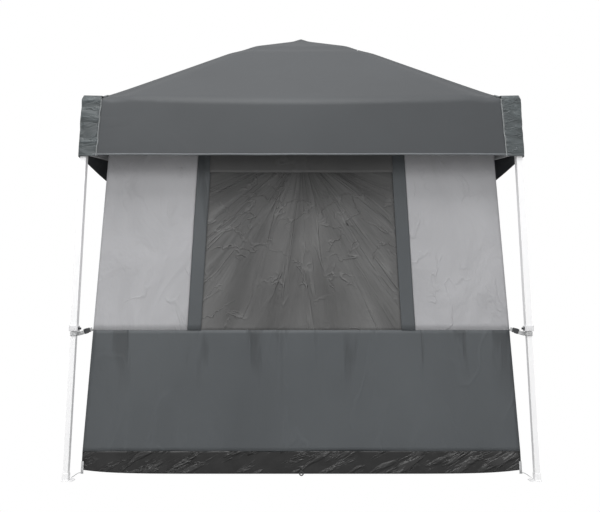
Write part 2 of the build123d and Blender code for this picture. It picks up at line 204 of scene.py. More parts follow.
def fan_vector(tree, vector, top):
    """Coordinates that fan out below a point: the angle from straight down, and the distance."""
    parts = add(tree, "ShaderNodeSeparateXYZ")
    tree.links.new(vector, parts.inputs[0])
    down = add(tree, "ShaderNodeMath", operation="SUBTRACT")
    down.inputs[0].default_value = top
    tree.links.new(parts.outputs["Z"], down.inputs[1])
    angle = add(tree, "ShaderNodeMath", operation="ARCTAN2")
    tree.links.new(parts.outputs["X"], angle.inputs[0])
    tree.links.new(down.outputs[0], angle.inputs[1])
    spread = add(tree, "ShaderNodeMath", operation="MULTIPLY")
    spread.inputs[1].default_value = 0.22
    tree.links.new(down.outputs[0], spread.inputs[0])
    joined = add(tree, "ShaderNodeCombineXYZ")
    tree.links.new(angle.outputs[0], joined.inputs["X"])
    tree.links.new(spread.outputs[0], joined.inputs["Y"])
    return joined.outputs[0], down.outputs[0]


def below(tree, vector, top, reach):
    """1 at a height, fading to 0 a reach below it."""
    parts = add(tree, "ShaderNodeSeparateXYZ")
    tree.links.new(vector, parts.inputs[0])
    return remapped(tree, parts.outputs["Z"], top - reach, top)


def streaks(tree, vector, scale, low=0.5, high=0.68):
    """Soft separate streaks: 1 in a streak, 0 between."""
    pattern = add(tree, "ShaderNodeTexNoise", Scale=scale, Detail=3.0, Distortion=0.3)
    tree.links.new(vector, pattern.inputs["Vector"])
    return remapped(tree, pattern.outputs["Fac"], low, high)


def cloth_material(name, dark, light, roughness, crease, crease_scale=2.2, stretch=(1, 1, 1),
                   sheen=0.05, shade=0.08, line_shade=0.1, hung_from=None):
    """Woven cloth, with painted shade and highlight that follow its folds and creases. hung_from is the
    height of a seam that folds hang below, with painted shade in them.
    """
    material, tree, shader = new_material(name)
    vector = object_coordinates(tree)
    long_vector = object_coordinates(tree, stretch)
    creases = add(tree, "ShaderNodeTexNoise", Scale=crease_scale, Detail=4.0, Distortion=0.6)
    tree.links.new(long_vector, creases.inputs["Vector"])
    lines = crease_lines(tree, long_vector, crease_scale * 1.6)
    colour = noise_between(tree, vector, 1.7, dark, light)
    # painted shade and highlight following the large folds
    colour = shaded(tree, colour, creases.outputs["Fac"], shade)
    # painted highlight along the creases, or painted shade where line_shade is below zero
    colour = painted_light_along(tree, colour, lines, line_shade)
    layers = [(creases.outputs["Fac"], crease, 0.05), (lines, crease, 0.004)]
    if hung_from is not None:
        folds = streaks(tree, object_coordinates(tree, (1, 1, 0.14)), 9.0, 0.52, 0.64)
        folds = times(tree, folds, below(tree, vector, hung_from, 0.42))
        # painted shade in the folds that hang below the seam
        colour = painted_light_along(tree, colour, folds, -0.32)
        layers.append((folds, 0.6, -0.010))
    tree.links.new(colour, shader.inputs["Base Color"])
    shader.inputs["Roughness"].default_value = roughness
    shader.inputs["Sheen Weight"].default_value = sheen
    shader.inputs["Sheen Roughness"].default_value = 0.45
    fine = add(tree, "ShaderNodeTexNoise", Scale=26.0, Detail=5.0)
    tree.links.new(vector, fine.inputs["Vector"])
    layers.append((fine.outputs["Fac"], crease * 0.5, 0.003))
    layers.append((weave_height(tree, vector, 130.0), 0.25, 0.0004))
    stacked_bumps(tree, shader, layers)
    return material


def powder_coat(name, dark, light, roughness):
    material, tree, shader = new_material(name)
    vector = object_coordinates(tree)
    tree.links.new(noise_between(tree, vector, 9.0, dark, light), shader.inputs["Base Color"])
    shader.inputs["Roughness"].default_value = roughness
    shader.inputs["Coat Weight"].default_value = 0.2
    shader.inputs["Coat Roughness"].default_value = 0.3
    orange_peel = add(tree, "ShaderNodeTexNoise", Scale=420.0, Detail=2.0)
    tree.links.new(vector, orange_peel.inputs["Vector"])
    stacked_bumps(tree, shader, [(orange_peel.outputs["Fac"], 0.12, 0.0004)])
    return material


def moulded(name, dark, light, roughness):
    material, tree, shader = new_material(name)
    vector = object_coordinates(tree)
    tree.links.new(noise_between(tree, vector, 30.0, dark, light), shader.inputs["Base Color"])
    shader.inputs["Roughness"].default_value = roughness
    grain = add(tree, "ShaderNodeTexVoronoi", Scale=900.0)
    tree.links.new(vector, grain.inputs["Vector"])
    stacked_bumps(tree, shader, [(grain.outputs["Distance"], 0.18, 0.0003)])
    return material


def webbing(name, dark, light):
    material, tree, shader = new_material(name)
    vector = object_coordinates(tree)
    tree.links.new(noise_between(tree, vector, 60.0, dark, light), shader.inputs["Base Color"])
    shader.inputs["Roughness"].default_value = 0.75
    shader.inputs["Sheen Weight"].default_value = 0.3
    stacked_bumps(tree, shader, [(weave_height(tree, vector, 180.0), 0.8, 0.0008)])
    return material


def mesh_material(name, dark, light):
    """Fine netting lying on a darker lining, with slack folds that fan out from the top middle; painted
    shade and highlight follow the folds, and a painted shadow darkens it under the header.
    """
    material, tree, shader = new_material(name)
    vector = object_coordinates(tree)
    base = noise_between(tree, vector, 2.4, dark, light, detail=6.0)
    fan, down = fan_vector(tree, vector, WINDOW_TOP + 0.10)
    folds = add(tree, "ShaderNodeTexNoise", Scale=6.5, Detail=4.0, Distortion=0.5)
    tree.links.new(fan, folds.inputs["Vector"])
    lines = crease_lines(tree, object_coordinates(tree, (1.0, 1.0, 1.3)), 6.5, width=0.03)
    spokes = crease_lines(tree, fan, 7.0, width=0.03)
    # painted shade and highlight following the soft folds
    base = shaded(tree, base, folds.outputs["Fac"], 0.22)
    # painted highlights along the creases and the fanned spokes
    base = painted_light_along(tree, base, lines, 0.30)
    base = painted_light_along(tree, base, spokes, 0.30)
    # painted shadow under the header, darkest at the top
    header_shadow = remapped(tree, down, 0.10, 0.42, 1.0, 0.0)
    base = painted_light_along(tree, base, header_shadow, -0.5)
    grid = times(tree, wave(tree, vector, "X", 120.0), wave(tree, vector, "Z", 120.0))
    mix = add(tree, "ShaderNodeMix", data_type="RGBA", blend_type="MULTIPLY")
    mix.inputs[0].default_value = 0.25
    tree.links.new(base, mix.inputs[6])
    tree.links.new(grid, mix.inputs[7])
    tree.links.new(mix.outputs[2], shader.inputs["Base Color"])
    shader.inputs["Roughness"].default_value = 0.8
    stacked_bumps(tree, shader, [
        (folds.outputs["Fac"], 0.8, 0.05),
        (lines, 0.9, 0.006),
        (spokes, 0.9, 0.006),
        (grid, 0.5, 0.0005),
    ])
    return material


def tarp_material(name, dark, light):
    """Crinkled waterproof sheet with a soft gloss and slanting creases, with painted highlights along them.
    """
    material, tree, shader = new_material(name)
    vector = object_coordinates(tree)
    slanted = object_coordinates(tree, (0.5, 0.5, 2.4), turn=(0, math.radians(-28), 0))
    colour = noise_between(tree, vector, 14.0, dark, light, detail=8.0)
    pulls = streaks(tree, slanted, 9.0, 0.50, 0.62)
    lines = crease_lines(tree, slanted, 11.0, width=0.04)
    # painted highlights along the slanting pulls and creases, standing in for gloss catching the light
    colour = painted_light_along(tree, colour, pulls, 1.5)
    tree.links.new(painted_light_along(tree, colour, lines, 2.4), shader.inputs["Base Color"])
    shader.inputs["Roughness"].default_value = 0.4
    stacked_bumps(tree, shader, [
        (pulls, 0.9, 0.012),
        (lines, 1.0, 0.006),
        (weave_height(tree, vector, 110.0), 0.3, 0.0005),
    ])
    return material


# shade and line_shade paint shade and highlight into each cloth's colour along its folds and creases
MATERIALS = {
    "canopy": cloth_material("canopy_cloth", (0.049, 0.0535, 0.058), (0.055, 0.060, 0.065), 0.6, crease=0.12,
                             crease_scale=1.2, sheen=0.03, shade=0.03, line_shade=0.0),
    "slate": cloth_material("slate_cloth", (0.066, 0.073, 0.079), (0.076, 0.084, 0.090), 0.6, crease=0.4,
                            stretch=(1, 1, 0.45), shade=0.06, line_shade=0.05, hung_from=SEAM_Z),
    "silver": cloth_material("silver_cloth", (0.35, 0.35, 0.363), (0.39, 0.39, 0.404), 0.62, crease=0.5,
                             crease_scale=4.0, stretch=(1, 1, 0.6), shade=0.05, line_shade=-0.04),
    "patch": cloth_material("corner_cloth", (0.050, 0.060, 0.063), (0.080, 0.093, 0.097), 0.5, crease=0.7,
                            crease_scale=5.0, stretch=(1, 1, 3.0), shade=0.4, line_shade=0.3),
    # the folded hem is the valance cloth, coloured lighter as a painted highlight along its fold
    "hem": cloth_material("hem_cloth_painted_highlight", (0.11, 0.12, 0.128), (0.13, 0.14, 0.148), 0.6, crease=0.1),
    "piping": webbing("piping_tape", (0.20, 0.215, 0.22), (0.26, 0.275, 0.28)),
    "header": cloth_material("header_band", (0.080, 0.080, 0.080), (0.100, 0.099, 0.098), 0.7, crease=0.4,
                             sheen=0.1),
    "window": mesh_material("window_net", (0.100, 0.100, 0.100), (0.155, 0.155, 0.154)),
    "tub": tarp_material("tub_sheet", (0.008, 0.008, 0.008), (0.016, 0.016, 0.016)),
    "webbing": webbing("grey_webbing", (0.46, 0.465, 0.47), (0.60, 0.605, 0.61)),
    "steel": powder_coat("white_powder_coat", (0.93, 0.93, 0.935), (0.96, 0.96, 0.965), 0.38),
    "white_plastic": moulded("white_moulding", (0.72, 0.72, 0.73), (0.80, 0.80, 0.81), 0.45),
    "dark_plastic": moulded("dark_moulding", (0.035, 0.037, 0.04), (0.055, 0.058, 0.06), 0.5),
    "zip": webbing("zip_tape", (0.02, 0.021, 0.022), (0.04, 0.042, 0.044)),
}


# ---- mesh helpers --------------------------------------------------------------------------
def grid_piece(name, material, rows, thickness=0.0, close=False):
    """A sheet from rows of points, all the same length."""
    count = len(rows[0])
    points = [point for row in rows for point in row]
    faces = []
    for j in range(len(rows) - 1):
        for i in range(count - 1 + int(close)):
            k = (i + 1) % count
            faces.append((j * count + i, j * count + k, (j + 1) * count + k, (j + 1) * count + i))
    mesh = bpy.data.meshes.new(name)
    mesh.from_pydata([tuple(p) for p in points], [], faces)
    mesh.materials.append(MATERIALS[material])
    mesh.shade_smooth()
    piece = bpy.data.objects.new(name, mesh)
    bpy.context.scene.collection.objects.link(piece)
    if thickness:
        solid = piece.modifiers.new("thickness", "SOLIDIFY")
        solid.thickness = thickness
        solid.offset = 0.0
    return piece


def ripple(x, z, seed, scale):
    """Smooth noise from -1 to 1, the same each run."""
    return noise.noise(Vector((x * scale, z * scale, seed)))


def lerp(a, b, t):
    return a + (b - a) * t


def smooth(t):
    t = min(max(t, 0.0), 1.0)
    return t * t * (3 - 2 * t)


# ---- canopy --------------------------------------------------------------------------------
ROUND = 0.100             # half length of the soft bend at the elbow
TIP = 0.012               # the mast pushes the cloth up to a small point
SHELF = 0.055             # the cloth lies flat over the corner brackets this far in


def hip_height(r, u=1.0):
    """Height of the cloth at distance r from the middle, without its sag. u is 1 on a hip."""
    shelf = EAVE_HALF - SHELF * smooth((u - 0.75) / 0.25)
    slope = (ELBOW_Z - EAVE_Z) / (shelf - ELBOW_HALF)
    rise = shelf - r
    near_hip = smooth((u - 0.75) / 0.25)
    soft = 0.04 * near_hip
    low = EAVE_Z + (rise + math.hypot(rise, soft)) / 2 * slope + 0.004 - 0.012 * near_hip
    if u < 0.75:
        low = EAVE_Z + rise * slope + 0.004
    high = PEAK_Z - 0.004 - r * (PEAK_Z - 0.004 - ELBOW_Z) / ELBOW_HALF
    t = smooth((r - (ELBOW_HALF - ROUND)) / (2 * ROUND))
    return lerp(high, low, t) - 0.062 * t * (1 - t) + TIP * max(1 - r / 0.06, 0.0)


def roof_height(x, y):
    """Height of the cloth, which hangs a little between the hips, most at the eaves."""
    r = max(abs(x), abs(y), 0.001)
    u = min(abs(x), abs(y)) / r
    sag = 0.022 * smooth((r - 0.25) / (EAVE_HALF - 0.25)) * (1 - u ** 2)
    wrinkle = 0.004 * ripple(x, y, 3.0, 2.6) * (1 - u * u) * smooth(r / 0.5)
    return hip_height(r, u) - sag + wrinkle


def roof_normal(x, y):
    step = 0.004
    across = roof_height(x + step, y) - roof_height(x - step, y)
    away = roof_height(x, y + step) - roof_height(x, y - step)
    return Vector((-across, -away, 2 * step)).normalized()


def eave_out(u):
    """How far out the valance stands, at share u of the way from the middle to a corner."""
    return EAVE_HALF - 0.002 + 0.008 * (1 - u ** 4)


def lip_end(u):
    """Where the roof starts to bend down into the valance."""
    return eave_out(u) - 0.025 - 0.020 * (1 - u ** 4)


def roof_quarter(corner, name, outer, inner, body, rows=26, columns=48):
    """Cloth over one hip, from the distance outer(u) in to the distance inner."""
    sx, sy = CORNERS[corner]
    points = []
    for j in range(rows + 1):
        row = []
        for i in range(columns + 1):
            s = -1 + 2 * i / columns
            u = 1 - abs(s)
            r = lerp(outer(u), inner, j / rows)
            x, y = (sx * r * u, sy * r) if s < 0 else (sx * r, sy * r * u)
            row.append(Vector((x, y, roof_height(x, y))))
        points.append(row[::-1] if sx * sy > 0 else row)
    piece = grid_piece(f"{name}_{corner}", "canopy", points)
    normals = [roof_normal(point.x, point.y) for row in points for point in row]
    piece.data.normals_split_custom_set_from_vertices(normals)
    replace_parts(piece, "canopy")
    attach(piece, f"{body}_{corner}")
    middle = (outer(1) + inner) / 2
    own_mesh(piece)
    slant = math.hypot(outer(1) - inner, hip_height(inner) - hip_height(outer(1)))
    width = 2 * outer(1)
    area = slant * (outer(1) + inner)
    return piece


TURN = {"front": 0, "right": 90, "back": 180, "left": 270}
SIDE_BODY = {"front": "leg_fl", "left": "leg_fl", "right": "leg_fr", "back": "leg_bl"}


def turned(x, y, z, side):
    a = math.radians(TURN[side])
    return Vector((x * math.cos(a) - y * math.sin(a), x * math.sin(a) + y * math.cos(a), z))


def ride_side(piece, side):
    """Cloth of one side goes with the leg of that side that moves least."""
    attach(piece, SIDE_BODY[side])
    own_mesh(piece)
    return piece


HEM_DROP = 0.006          # the hem hangs this far below the CAD valance


def valance_point(side, u, v, proud=0.0):
    """v runs from 0 at the hem to 1 at the start of the bend, then to 2 on the roof."""
    out = eave_out(u)
    inside = lip_end(u)
    end = turned(u * inside, -inside, 0, side)
    end.z = roof_height(end.x, end.y)
    further = turned(u * (inside - 0.02), -(inside - 0.02), 0, side)
    slope = (roof_height(further.x, further.y) - end.z) / 0.02
    edge_z = end.z - slope * (out - inside)
    bend_z = edge_z - 0.020 - 0.015 * (1 - u ** 4)
    if v <= 1:
        hem = VALANCE_BOTTOM - HEM_DROP - 0.003 * ripple(u * 3, 1.0, 5.0, 1.3)
        swing = 0.005 * (1 + ripple(u * 2.2, 0.3, 11.0, 1.6)) * (1 - u ** 4) * (1 - v)
        place = turned(u * out, -(out + swing + proud), 0, side)
        place.z = lerp(hem, bend_z, v)
        return place
    t = v - 1
    near, far = (1 - t) ** 2 + 2 * t * (1 - t), t ** 2
    r = out * near + inside * far
    place = turned(u * r, -(r + proud * (1 - t)), 0, side)
    place.z = bend_z * (1 - t) ** 2 + edge_z * 2 * t * (1 - t) + end.z * far + proud * t
    return place


def valance(side):
    columns, rows = 96, 16
    steps = [-1 + 2 * i / columns for i in range(columns + 1)]
    levels = [j / rows for j in range(rows + 1)] + [1 + k / 10 for k in range(1, 11)]
    points = [[valance_point(side, u, v) for u in steps] for v in levels]
    piece = grid_piece("valance_" + side, "canopy", points)
    ride_side(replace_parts(piece, "canopy"), side)
    hem_rows = [[valance_point(side, u, v, 0.0018) for u in steps] for v in (0.0, 0.018, 0.036)]
    hem = grid_piece("valance_hem_" + side, "hem", hem_rows, 0.0014)
    ride_side(hem, side)
    return piece


PATCH_LOW = 0.096         # width of the corner patch on each side, at the hem
PATCH_HIGH = 0.110        # and at the eave
PATCH_PROUD = 0.005       # how far it stands off the valance
PATCH_BEND = 0.014        # radius round the leg's corner
PATCH_BULGE = 0.0035      # height of its pulled wrinkles
PATCH_ROWS = 54


def corner_patch(corner):
    """Doubled cloth round each canopy corner, edged with tape."""
    sx, sy = CORNERS[corner]
    edge = EAVE_HALF - 0.002 + PATCH_PROUD
    rows = []
    for j in range(PATCH_ROWS + 1):
        v = j / PATCH_ROWS
        reach = lerp(PATCH_LOW, PATCH_HIGH, v)
        z = lerp(VALANCE_BOTTOM - 0.008, EAVE_Z - 0.020, v)
        row = [(edge - reach + k * (reach - PATCH_BEND) / 6, edge) for k in range(6)]
        row += [(edge - PATCH_BEND + PATCH_BEND * math.sin(math.radians(10 * k)),
                 edge - PATCH_BEND + PATCH_BEND * math.cos(math.radians(10 * k))) for k in range(10)]
        row += [(edge, edge - PATCH_BEND - k * (reach - PATCH_BEND) / 6) for k in range(1, 7)]
        puffed = []
        for k, (x, y) in enumerate(row):
            pull = ripple(k * 0.035 + sx, z * 3.2 + k * 0.02 * sx, 90.0 + sy, 6.0)
            bulge = PATCH_BULGE * pull * smooth((1 - v) * 6)
            stretch = 1 + bulge / edge
            puffed.append(Vector((sx * x * stretch, sy * y * stretch, z)))
        rows.append(puffed)
    top = rows[-1]
    centre = edge - PATCH_HIGH
    for t in (0.06, 0.14, 0.3, 0.5, 0.75, 0.97):
        row = []
        for point in top:
            x = sx * lerp(abs(point.x), centre, t)
            y = sy * lerp(abs(point.y), centre, t)
            z = roof_height(sx * min(abs(x), EAVE_HALF), sy * min(abs(y), EAVE_HALF)) + 0.0035
            row.append(Vector((x, y, z)))
        rows.append(row)
    if sx * sy > 0:
        rows = [row[::-1] for row in rows]
    piece = grid_piece("corner_patch_" + corner, "patch", rows, 0.0016)
    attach(piece, "leg_" + corner)
    for name, index in (("a", 0), ("b", -1)):
        line = [row[index] for row in rows[:PATCH_ROWS + 1]]
        tape = tape_along(f"corner_tape_{name}_{corner}", "piping", line, 0.006)
        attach(tape, "leg_" + corner)
    return piece


def tape_along(name, material, line, width):
    """A thin round tape or cord that follows a line of points."""
    curve = bpy.data.curves.new(name, "CURVE")
    curve.dimensions = "3D"
    curve.bevel_depth = width / 2
    curve.bevel_resolution = 2
    spline = curve.splines.new("POLY")
    spline.points.add(len(line) - 1)
    for point, place in zip(spline.points, line):
        point.co = (*place, 1)
    curve.materials.append(MATERIALS[material])
    shape = bpy.data.objects.new(name + "_line", curve)
    bpy.context.scene.collection.objects.link(shape)
    bpy.context.view_layer.update()
    graph = bpy.context.evaluated_depsgraph_get()
    mesh = bpy.data.meshes.new_from_object(shape.evaluated_get(graph))
    bpy.data.objects.remove(shape)
    mesh.name = name
    piece = bpy.data.objects.new(name, mesh)
    bpy.context.scene.collection.objects.link(piece)
    mesh.shade_smooth()
    return piece


# ---- tent walls ----------------------------------------------------------------------------
def tent_half(z):
    return lerp(TENT_BOTTOM_HALF, TENT_TOP_HALF, (z - TUB_TOP) / (TENT_TOP_Z - TUB_TOP))


def wall_wrinkle(side, x, z, seed):
    """Out-of-plane shape of a hung wall: slack folds that fade to nothing at the seams."""
    half = tent_half(z)
    edge = 1 - (abs(x) / half) ** 6
    up = (z - TUB_TOP) / (TENT_TOP_Z - TUB_TOP)
    slow = 0.010 * ripple(x, z * 0.5, seed, 1.5)
    folds = 0.0045 * ripple(x + 0.25 * z, z * 0.25, seed + 7, 5.0)
    pull = 0.003 * math.sin(9 * x + 6 * z) * smooth(1 - abs(up - 0.35) * 2)
    return (slow + folds + pull) * max(edge, 0.0)


def wall_point(side, x, z, proud=0.0, seed=1.0, extra=0.0):
    out = tent_half(z) + wall_wrinkle(side, x, z, seed) + proud + extra
    return turned(x, -out, z, side)


def fan_fold(x, z):
    """Folds that spread from the top middle of the window, where the cloth hangs from its header."""
    down = WINDOW_TOP + 0.10 - z
    angle = math.atan2(x, down)
    return ripple(angle * 1.5, down * 0.25, 33.0, 3.5) * min(down * 2.0, 1.0)


def wall_side(sign):
    """A wall's own edge, as a function of height."""
    return lambda z: sign * tent_half(z)


def window_side(sign, grow=0.0):
    return lambda z: sign * window_edge(z, grow)


def fixed_side(x):
    return lambda z: x


def wall_patch(side, name, material, left, right, bottom, top, proud=0.0, columns=40, rows=30,
               slack=0.0, slot="slate_cloth", replaces=()):
    """Cloth between two edges, each a function of height, in the plane of one wall."""
    points = []
    for j in range(rows + 1):
        z = lerp(bottom, top, j / rows)
        row = []
        for i in range(columns + 1):
            t = i / columns
            x = lerp(left(z), right(z), t)
            inside = math.sin(math.pi * t) * math.sin(math.pi * j / rows)
            extra = slack * inside * (0.5 * ripple(x * 1.4, z, 21.0, 3.4) + fan_fold(x, z))
            row.append(wall_point(side, x, z, proud, 1.0 + TURN[side], extra))
        points.append(row)
    piece = grid_piece(name, material, points, CLOTH)
    for node in replaces:
        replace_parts(piece, node)
    ride_side(piece, side)
    middle = (bottom + top) / 2
    flat = (right(middle) - left(middle), top - bottom)
    return piece


def seam(side, name, line, width=0.009):
    """A folded, stitched seam: a low rounded ridge along a line of (x, z) places."""
    rows = []
    count = 60
    for offset, proud in ((-0.5, 0.0006), (-0.3, 0.0022), (0.3, 0.0022), (0.5, 0.0006)):
        row = []
        for k in range(count + 1):
            t = k / count
            x0, z0, x1, z1 = *line[0], *line[1]
            along = Vector((x1 - x0, z1 - z0)).normalized()
            x = lerp(x0, x1, t) - along.y * offset * width
            z = lerp(z0, z1, t) + along.x * offset * width
            row.append(wall_point(side, x, z, proud, 1.0 + TURN[side]))
        rows.append(row)
    piece = grid_piece(name, "slate", rows, 0.0006)
    return ride_side(piece, side)


HEADER_LAP = 0.022        # the header hangs this far over the net


def window_edge(z, grow=0.0):
    share = (z - SEAM_Z) / (WINDOW_TOP - SEAM_Z)
    return lerp(WINDOW_HALF_LOW, WINDOW_HALF_HIGH, share) + grow


def front_wall():
    wall_patch("front", "front_band", "slate", wall_side(-1), wall_side(1), TUB_TOP, SEAM_Z, columns=96,
               replaces=["tent_wall_front"])
    for name, sign in (("left", -1), ("right", 1)):
        edges = sorted((wall_side(sign), window_side(sign, STRIP)), key=lambda edge: edge(SEAM_Z))
        wall_patch("front", f"front_silver_{name}", "silver", *edges, SEAM_Z, TENT_TOP_Z,
                   slot="silver_cloth")
        edges = sorted((window_side(sign), window_side(sign, STRIP)), key=lambda edge: edge(SEAM_Z))
        wall_patch("front", f"window_strip_{name}", "slate", *edges, SEAM_Z, TENT_TOP_Z, proud=0.0018,
                   columns=8)
    wall_patch("front", "window_net", "window", window_side(-1), window_side(1), SEAM_Z, WINDOW_TOP + 0.01,
               columns=70, rows=60, slack=0.016, slot="window_mesh", replaces=["window_mesh"])
    wall_patch("front", "window_header", "header", window_side(-1, 0.004), window_side(1, 0.004),
               WINDOW_TOP - HEADER_LAP, TENT_TOP_Z, proud=0.004, columns=40, rows=8)


def plain_side(side, node):
    edges = (wall_side(-1), wall_side(1))
    wall_patch(side, f"{side}_band", "slate", *edges, TUB_TOP, SEAM_Z, columns=96, replaces=[node])
    wall_patch(side, f"{side}_silver", "silver", *edges, SEAM_Z, TENT_TOP_Z, columns=96,
               slot="silver_cloth")
    half = tent_half(SEAM_Z)
    seam(side, f"{side}_middle_seam", ((-half, SEAM_Z), (half, SEAM_Z)))


CUT = 0.0015              # between the door's opening and the cloth round it


def back_wall():
    opening = DOOR_HALF + CUT
    for name, sign in (("left", -1), ("right", 1)):
        edge = fixed_side(sign * opening)
        strip = fixed_side(sign * (DOOR_HALF + STRIP))
        outer = wall_side(sign)
        wall_patch("back", f"back_band_{name}", "slate", *(edge, outer)[::sign], TUB_TOP, SEAM_Z,
                   replaces=["tent_wall_back"])
        wall_patch("back", f"back_silver_{name}", "silver", *(strip, outer)[::sign], SEAM_Z, TENT_TOP_Z,
                   slot="silver_cloth")
        wall_patch("back", f"door_strip_{name}", "slate", *(edge, strip)[::sign], SEAM_Z, TENT_TOP_Z,
                   columns=8)
        seam("back", f"back_seam_{name}",
             ((sign * (DOOR_HALF + STRIP), SEAM_Z), (sign * tent_half(SEAM_Z), SEAM_Z)))
    edges = (fixed_side(-opening), fixed_side(opening))
    wall_patch("back", "door_sill", "slate", *edges, TUB_TOP, DOOR_LOW.z - CUT, rows=4)
    wall_patch("back", "door_lintel", "slate", *edges, DOOR_HIGH.z + CUT, TENT_TOP_Z, rows=8)


HINGE_GAP = 0.004         # between the door cloth and the strip it is sewn to


def door():
    """The zipped door: it hangs from its sewn edge and swings with the door body."""
    rows, columns = 60, 40
    points = []
    for j in range(rows + 1):
        z = lerp(DOOR_LOW.z, DOOR_HIGH.z, j / rows)
        row = []
        for i in range(columns + 1):
            x = lerp(-DOOR_HALF, DOOR_HALF - HINGE_GAP, i / columns)
            inside = math.sin(math.pi * i / columns) * math.sin(math.pi * j / rows)
            slack = 0.006 * ripple(x, z, 40.0, 2.6) * inside
            row.append(wall_point("back", x, z, 0.0, 1.0 + TURN["back"], slack))
        points.append(row)
    piece = grid_piece("door_cloth", "slate", points, CLOTH)
    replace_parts(piece, "door_flap")
    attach(piece, "door")
    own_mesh(piece)


def zip_pull():
    """Slider and hanging pull of the door's zip."""
    low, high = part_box("zip_slider")
    mesh = bpy.data.meshes.new("zip_pull")
    work = bmesh.new()
    tall = high.z - low.z
    for bottom, top, inset in ((low.z + tall * 0.6, high.z, 0.0), (low.z, low.z + tall * 0.62, 0.25)):
        block = bmesh.ops.create_cube(work, size=1.0)["verts"]
        size = Vector(((high.x - low.x) * (1 - inset), (high.y - low.y) * (1 - inset), top - bottom))
        centre = Vector(((low.x + high.x) / 2, (low.y + high.y) / 2 + 0.002, (bottom + top) / 2))
        bmesh.ops.scale(work, vec=size, verts=block)
        bmesh.ops.translate(work, vec=centre, verts=block)
    work.to_mesh(mesh)
    work.free()
    mesh.materials.append(MATERIALS["dark_plastic"])
    piece = bpy.data.objects.new("zip_pull", mesh)
    bpy.context.scene.collection.objects.link(piece)
    bevel = piece.modifiers.new("soft_edges", "BEVEL")
    bevel.width = 0.0008
    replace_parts(piece, "zip_slider")
    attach(piece, "zip_pull")
    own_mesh(piece)


TUB_LIFT = 0.020          # the corners are held up a little by their ties
TUB_ROLL = 0.014          # the sheet turns under this high above the ground


def tub():
    """The waterproof band round the foot of the walls, and the floor sheet."""
    for side in TURN:
        columns, rows = 96, 12
        points = []
        for j in range(rows + 1):
            v = j / rows
            row = []
            for i in range(columns + 1):
                u = -1 + 2 * i / columns
                lift = TUB_LIFT * abs(u) ** 8
                z = lerp(TUB_LOW.z + TUB_ROLL + lift, TUB_TOP, v)
                half = lerp(TENT_BOTTOM_HALF, tent_half(TUB_TOP), v)
                slant = u * 3 + 0.25 * v * (1 if u > 0 else -1)
                crinkle = 0.006 * ripple(slant, v * 0.3, 60.0 + TURN[side], 6.0) * math.sin(math.pi * v)
                row.append(turned(u * half, -half - crinkle * (1 - u ** 8), z, side))
            points.append(row)
        piece = grid_piece("tub_band_" + side, "tub", points, CLOTH)
        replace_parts(piece, "tent_floor")
        ride_side(piece, side)
        count = 24
        rows_floor = []
        for j in range(count + 1):
            r = lerp(TENT_BOTTOM_HALF - 0.002, 0.01, j / count)
            row = []
            for i in range(count + 1):
                u = -1 + 2 * i / count
                bump = 0.003 * max(ripple(u * r, r, 80.0 + TURN[side], 5.0), 0.0)
                out = r / TENT_BOTTOM_HALF
                lift = TUB_LIFT * abs(u) ** 8 * out ** 6 + TUB_ROLL * out ** 30
                row.append(turned(u * r, -r, TUB_LOW.z + 0.002 + bump + lift, side))
            rows_floor.append(row)
        sheet = grid_piece("floor_gore_" + side, "tub", rows_floor, CLOTH)
        ride_side(sheet, side)


def drain_loop():
    """A small loop under the middle of the front band."""
    centre = Vector((0, -TENT_BOTTOM_HALF - 0.004, TUB_LOW.z + 0.016))
    line = []
    for turn in range(0, 361, 20):
        a = math.radians(turn)
        line.append(centre + Vector((0.009 * math.cos(a), 0, 0.009 * math.sin(a))))
    loop = tape_along("drain_loop", "zip", line, 0.006)
    ride_side(loop, "front")


# ---- straps --------------------------------------------------------------------------------
def side_release_buckle(name, centre, along, up):
    """Buckle body with its two prongs, centred on the strap."""
    side = along.cross(up)
    outline = [(-0.017, 0.011), (-0.012, 0.0135), (0.004, 0.0135), (0.008, 0.0105), (0.012, 0.0125),
               (0.017, 0.011)]
    rows = []
    for depth, shrink in ((-0.0045, 0.80), (-0.0035, 1.0), (0.0035, 1.0), (0.0045, 0.80)):
        loop = outline + [(x, -z) for x, z in reversed(outline)]
        rows.append([centre + along * (x * (0.96 if shrink < 1 else 1)) + up * (z * shrink) + side * depth
                     for x, z in loop])
    piece = grid_piece(name, "dark_plastic", rows, close=True)
    mesh = piece.data
    work = bmesh.new()
    work.from_mesh(mesh)
    work.verts.ensure_lookup_table()
    count = len(rows[0])
    work.faces.new([work.verts[k] for k in range(count)][::-1])
    work.faces.new([work.verts[len(work.verts) - count + k] for k in range(count)])
    bmesh.ops.recalc_face_normals(work, faces=work.faces)
    work.to_mesh(mesh)
    work.free()
    bevel = piece.modifiers.new("soft_edges", "BEVEL")
    bevel.width = 0.0012
    bevel.segments = 2
    return piece


STRAP_WIDTH = 0.020
STRAP_THICKNESS = 0.0018
STRAP_DOWN = 0.013        # middle of the loop, below the lock
STRAP_RISE = 0.027        # from the loop up to the tent's seam
LOOP_HALF = 0.0156        # half the width of the loop round the lower tube
BUCKLE_ALONG = 0.62       # where the buckle sits, as a share of the tail


def strap_rows(line, up, steps=5):
    """Rows across a strap's width, for a line along its middle."""
    offsets = [STRAP_WIDTH * (k / (steps - 1) - 0.5) for k in range(steps)]
    return [[place + up * offset for place in line] for offset in offsets]


